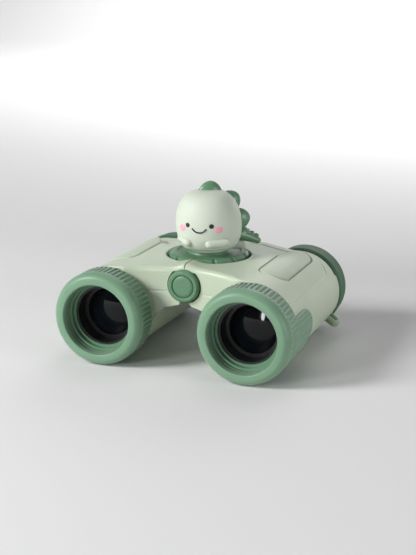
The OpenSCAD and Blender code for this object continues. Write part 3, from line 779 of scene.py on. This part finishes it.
def make_lug(side, prefix, half):
    """Strap lug: a thick rounded loop standing out of the housing."""
    angle = math.radians(-36)
    y0, y1 = 26.4, 30.6
    loop = rounded([(16.8, y0), (22.4, y0, 2.05), (22.4, y1, 2.05), (16.8, y1)], 0.4, 8)
    path = np.array([[BARREL_X + r * math.cos(angle), y, BARREL_Z + r * math.sin(angle)] for r, y in loop])
    up = (math.sin(angle), 0, -math.cos(angle))
    Shape().pipe(path, np.full(len(path), 1.3), 20, closed=True, up=up, squash=1.25).build(
        prefix + "_lug", half, "sage_shell", LUG, side, [prefix + "_strap_lug"]
    )


for side in (1, -1):
    make_half(side)


# ---- Centre: hinge cap, dial ----


HUB_RISE = 1.3
NOTCHES = 12
NOTCH_DEPTH = 0.95


def make_centre():
    """The hinge cap with its disc, and the dial."""
    front = cap_low[1]
    ring = rounded(
        [(2.5, front + 1), (4.8, front + 1), (4.8, front + 0.3), (5.1, front), (6.2, front, 0.5),
         (CAP_R, front + 0.9, 0.6), (CAP_R, front + 4.2), (2.5, front + 4.2)], 0.2, 5
    )
    Shape().grid(lathe(ring, 0, HINGE_Z, 96), close_rows=True, close_columns=True, flip=True).build(
        "hinge_cap_ring", "centre", "green_plastic", PLASTIC, 1, ["hinge_cap"], crease=45
    )
    disc = rounded(
        [(0.01, front - 0.28), (3.6, front - 0.15, 0.5), (4.6, front + 0.25), (4.6, front + 0.9),
         (0.01, front + 0.9)], 0.25, 4
    )
    Shape().grid(lathe(disc, 0, HINGE_Z, 72), close_rows=True, close_columns=True, flip=True).build(
        "hinge_disc", "centre", "green_plastic", PLASTIC, 1, ["hinge_cap_disc"], crease=45
    )
    hub = dial_high[2]
    top = hub - HUB_RISE
    low = top - 3.2
    profile = rounded(
        [(2.6, low), (DIAL_R - 0.8, low, 0.4), (DIAL_R, low + 0.8, 0.4), (DIAL_R, top - 1.0, 0.9),
         (DIAL_R - 1.3, top, 0.5), (DIAL_R - 3.2, top + 0.1, 0.3), (DIAL_R - 3.5, top - 0.3, 0.2),
         (9.2, top - 0.15), (8.6, hub - 0.1, 0.4), (2.6, hub - 0.1)], 0.2, 5
    )

    def notches(points, turn):
        """Round notches in the dial's rim."""
        wave = np.abs(((turn[None, :] / (2 * math.pi) * NOTCHES + 0.5) % 1) - 0.5)
        wave = wave / NOTCHES * 2 * math.pi * DIAL_R
        outer = smoothstep((points[:, 0][:, None] - (DIAL_R - 1.7)) / 0.6)
        return -NOTCH_DEPTH * outer * np.sqrt(np.clip(1 - (wave / 1.0) ** 2, 0, 1))

    Shape().grid(upright(profile, 0, DIAL_Y, 720, notches), close_rows=True, close_columns=True).build(
        "dial_rim", "dial", "green_plastic", PLASTIC, 1, ["focus_dial"], crease=45
    )


make_centre()


# ---- Figure ----

# Body: an egg on a narrow neck; its lower outline starts at this tilt from its widest place
LOW_ANGLE = math.radians(-58)
LOW_POWER, HIGH_POWER = 0.38, 0.7
SWELL = 0.025
TAIL_SWELL = 0.085
NECK_R = 7.8
NECK_H = 1.2
EGG_MID = NECK_H + (FIGURE_H - NECK_H) * 0.47
EGG_LOW = (EGG_MID - NECK_H) / math.sin(-LOW_ANGLE)
FACE_TURN = math.radians(6)
# Direction of the back plates and the tail
RIDGE = math.radians(38)
EYE_X, EYE_H, EYE_R = 5.2, 12.8, 1.0
CHEEK_X, CHEEK_H, CHEEK_R = 8.0, 11.2, 1.5


def egg(tilt):
    """(radius, height) of the body's outline at a tilt from its widest place."""
    tilt = np.asarray(tilt, float)
    r = FIGURE_R * np.clip(np.cos(tilt), 0, None) ** np.where(tilt < 0, LOW_POWER, HIGH_POWER)
    up = np.where(tilt < 0, EGG_LOW, FIGURE_H - EGG_MID)
    return r, EGG_MID + up * np.sin(tilt)


def on_face(across, height, proud):
    """Places on the body's front at a sideways distance and a height above its base."""
    across, height = np.broadcast_arrays(np.asarray(across, float), np.asarray(height, float))
    up = np.where(height < EGG_MID, EGG_LOW, FIGURE_H - EGG_MID)
    tilt = np.arcsin(np.clip((height - EGG_MID) / up, -1, 1))
    power = np.where(height < EGG_MID, LOW_POWER, HIGH_POWER)
    r = (1 + SWELL) * FIGURE_R * np.cos(tilt) ** power + proud
    ahead = np.sqrt(np.clip(r * r - across * across, 0, None))
    x = across * math.cos(FACE_TURN) + ahead * math.sin(FACE_TURN)
    y = across * math.sin(FACE_TURN) - ahead * math.cos(FACE_TURN)
    return np.stack([x, FIGURE_Y + y, FIGURE_Z + height], -1)


def face_disc(shape, across, height, radius, proud):
    """Adds a domed round inlay on the body's front."""
    rings = np.array([0.02, 0.3, 0.55, 0.75, 0.9, 1.0, 1.02])
    lift = proud * np.array([1, 0.95, 0.85, 0.68, 0.4, 0.05, -1.5])
    turn = np.linspace(0, 2 * math.pi, 40, endpoint=False)
    a = across + radius * rings[:, None] * np.cos(turn)[None, :]
    h = height + radius * rings[:, None] * np.sin(turn)[None, :]
    shape.grid(on_face(a, h, lift[:, None] * np.ones_like(a)), close_columns=True)


def in_ridge(distance, height, off=0.0):
    """Place in the upright plane of the plates and the tail, or off to its side."""
    a = RIDGE
    return np.array(
        [distance * math.cos(a) - off * math.sin(a), FIGURE_Y + distance * math.sin(a) + off * math.cos(a),
         FIGURE_Z + height]
    )


def limb(shape, root, tip, root_r, tip_r):
    """Adds a straight limb with rounded ends, given from the middle of the body's base."""
    root, tip = np.array(root, float), np.array(tip, float)
    t = np.linspace(0, 1, 14)
    points = root + (tip - root) * t[:, None] + np.array([0, FIGURE_Y, FIGURE_Z])
    shape.pipe(points, root_r + (tip_r - root_r) * t, 28)


def make_figure():
    """The dinosaur, which turns with the dial."""
    tilts = np.concatenate([np.linspace(LOW_ANGLE, 0, 40), np.linspace(0, math.pi / 2, 60)[1:]])
    r, h = egg(tilts)
    # Rounded lower edge, in place of the outline's first points
    edge_r, edge_h = r[0] - np.array([1.05, 0.42, 0.105]), NECK_H + np.array([0, 0.015, 0.105])
    r, h = np.concatenate([edge_r, r[4:]]), np.concatenate([edge_h, h[4:]])
    profile = np.stack(
        [np.concatenate([[0.01, NECK_R + 0.3, NECK_R, NECK_R], r[:-1], [0.01]]),
         np.concatenate([[0.0, 0.0, 0.3, NECK_H - 0.1], h[:-1], [FIGURE_H]])], -1)
    profile[:, 1] += FIGURE_Z

    def swell(points, turn):
        """The body bulges towards the tail, most of all low down."""
        low_share = smoothstep((FIGURE_Z + FIGURE_H * 0.75 - points[:, 1]) / (FIGURE_H * 0.6))[:, None]
        towards = np.clip(np.cos(turn - RIDGE), 0, 1)[None, :] ** 2
        return points[:, 0][:, None] * (SWELL + TAIL_SWELL * low_share * towards)

    Shape().grid(upright(profile, 0, FIGURE_Y, 128, swell), close_columns=True).build(
        "dino_body", "dial", "figure_shell", FIGURE, 1, ["figure_body"]
    )
    out = np.array([math.cos(RIDGE), math.sin(RIDGE), 0])
    across = np.array([-math.sin(RIDGE), math.cos(RIDGE), 0])
    up = (0, 0, 1)
    # Each plate: distance from the axis, height, reach, width and how far it leans up, in degrees
    plates = Shape()
    for distance, height, reach, width, lean in (
        (0.9, 24.6, 5.0, 5.2, 88),
        (9.2, 19.8, 5.6, 5.2, 38),
        (13.6, 12.2, 5.4, 4.9, 6),
        (15.0, 5.6, 3.8, 3.6, -8),
    ):
        lean = math.radians(lean)
        way = out * math.cos(lean) + np.array(up) * math.sin(lean)
        flank = np.cross(way, across)
        plates.ball(in_ridge(distance, height), (way, across, flank), (reach, 2.7, width), 40, 48, power=1.12)
    plates.build("dino_plates", "dial", "figure_green", FIGURE_GREEN, 1, ["figure_plates"])

    ts = np.linspace(0, 1, 24)
    reach = 12.0 + 10.4 * ts
    height = 6.0 - 3.9 * ts**1.2
    radii = 3.4 - 1.8 * ts
    path = [in_ridge(d, z) for d, z in zip(reach, height)]
    tail = Shape().pipe(path, radii, 32, squash=0.95)
    for k in range(4):
        d = 15.6 + 2.1 * k
        tail.ball(in_ridge(d, 7.9 - 1.25 * k), (out, across, up), (1.25, 0.7, 1.1), 14, 18)
    tail.build("dino_tail", "dial", "figure_green", FIGURE_GREEN, 1, ["figure_tail"])

    paws = Shape()
    limb(paws, (11.4, -7.6, 5.4), (5.6, -12.2, 4.9), 1.7, 1.75)
    limb(paws, (-8.4, -9.6, 6.0), (-4.2, -12.4, 5.0), 1.7, 1.75)
    paws.build("dino_paws", "dial", "figure_shell", FIGURE, 1, ["figure_paws"])
    feet = Shape()
    for sign in (-1, 1):
        limb(feet, (9 * sign, 2.6, 2), (14.6 * sign, 4.4, 1.8), 1.85, 1.7)
    feet.build("dino_feet", "dial", "figure_shell", FIGURE, 1, ["figure_feet"])

    ink = Shape()
    for sign in (-1, 1):
        face_disc(ink, EYE_X * sign, EYE_H, EYE_R, 0.22)
    # Mouth: an arc between the eyes
    turn = np.linspace(math.radians(-148), math.radians(-32), 30)
    a, h = 3.5 * np.cos(turn), 13.2 + 3.3 * np.sin(turn)
    ink.pipe(on_face(a, h, 0.02), np.full(30, 0.34), 12)
    ink.build("dino_eyes_mouth", "dial", "black_ink", BLACK_INK, 1, ["figure_eyes_mouth"])
    blush = Shape()
    for sign in (-1, 1):
        face_disc(blush, CHEEK_X * sign, CHEEK_H, CHEEK_R, 0.12)
    blush.build("dino_cheeks", "dial", "pink_ink", PINK_INK, 1, ["figure_cheeks"])


make_figure()


# ---- Floor, light and camera ----


def make_stage():
    """Pale floor that curves up into a wall behind the object."""
    ground = bpy.data.materials.new("floor")
    ground.use_nodes = True
    nodes, links = ground.node_tree.nodes, ground.node_tree.links
    noise = nodes.new("ShaderNodeTexNoise")
    noise.inputs["Scale"].default_value = 3
    ramp = nodes.new("ShaderNodeValToRGB")
    ramp.color_ramp.elements[0].color = linear((220, 220, 220))
    ramp.color_ramp.elements[1].color = linear((227, 227, 227))
    links.new(noise.outputs["Fac"], ramp.inputs["Fac"])
    links.new(ramp.outputs["Color"], nodes["Principled BSDF"].inputs["Base Color"])
    nodes["Principled BSDF"].inputs["Roughness"].default_value = 0.8
    half, flat, bend, wall = 3.0, 1.5, 0.6, 2.0
    turn = np.linspace(0, math.pi / 2, 16)
    curve = [(flat + bend * math.sin(a), bend * (1 - math.cos(a))) for a in turn]
    line = [(-half, 0.0)] + curve + [(flat + bend, wall)]
    points = [(x, y, z) for y, z in line for x in (-half, half)]
    faces = [(2 * i, 2 * i + 1, 2 * i + 3, 2 * i + 2) for i in range(len(line) - 1)]
    mesh = bpy.data.meshes.new("floor")
    mesh.from_pydata(points, [], faces)
    mesh.shade_smooth()
    mesh.materials.append(ground)
    floor = bpy.data.objects.new("floor", mesh)
    bpy.context.scene.collection.objects.link(floor)


def area_light(name, place, aim, size, power, tall=1.0, diffuse=True, glossy=True):
    """Adds an oval light that faces aim; tall is its height over its width."""
    data = bpy.data.lights.new(name, "AREA")
    data.shape = "ELLIPSE"
    data.size = size
    data.size_y = size * tall
    data.energy = power
    lamp = bpy.data.objects.new(name, data)
    lamp.location = place
    lamp.rotation_mode = "QUATERNION"
    lamp.rotation_quaternion = (Vector(aim) - Vector(place)).to_track_quat("-Z", "Y")
    lamp.visible_diffuse = diffuse
    lamp.visible_glossy = glossy
    bpy.context.scene.collection.objects.link(lamp)


def make_light():
    """Soft studio light: a key from the left, fills, one card for the lenses, and a lit wall."""
    scene = bpy.context.scene
    scene.view_settings.view_transform = "Standard"
    world = bpy.data.worlds.new("studio")
    world.use_nodes = True
    world.node_tree.nodes["Background"].inputs["Color"].default_value = (1, 1, 1, 1)
    world.node_tree.nodes["Background"].inputs["Strength"].default_value = 0.07
    scene.world = world
    middle = (0, 0, 0.035)
    area_light("key", (-0.56, -0.50, 0.50), middle, 0.3, 6.9)
    area_light("front", (-0.42, -0.85, 0.26), middle, 0.25, 3.6, glossy=False)
    area_light("lens", (-0.01, -1.0, 0.13), middle, 0.10, 2.4, tall=3, diffuse=False)
    area_light("side", (0.80, -0.10, 0.18), middle, 0.35, 2.4)
    area_light("top", (0.0, 0.25, 0.8), middle, 0.5, 0.8)
    area_light("backdrop", (0.0, 0.9, 1.3), (0.0, 2.1, 0.6), 1.2, 48)


def make_camera():
    """Camera at the photograph's viewing angle."""
    azimuth, elevation = math.radians(22.16), math.radians(15.83)
    level = math.cos(elevation)
    back = Vector((math.sin(azimuth) * level, -math.cos(azimuth) * level, math.sin(elevation)))
    target = Vector((0.01827, -0.045, 0.04401))
    distance = 0.4426
    data = bpy.data.cameras.new("camera")
    data.lens = 73.3
    data.sensor_width = 36
    camera = bpy.data.objects.new("camera", data)
    camera.location = target + back * distance
    camera.rotation_mode = "QUATERNION"
    camera.rotation_quaternion = (-back).to_track_quat("-Z", "Y")
    bpy.context.scene.collection.objects.link(camera)
    bpy.context.scene.camera = camera


make_stage()
make_light()
make_camera()
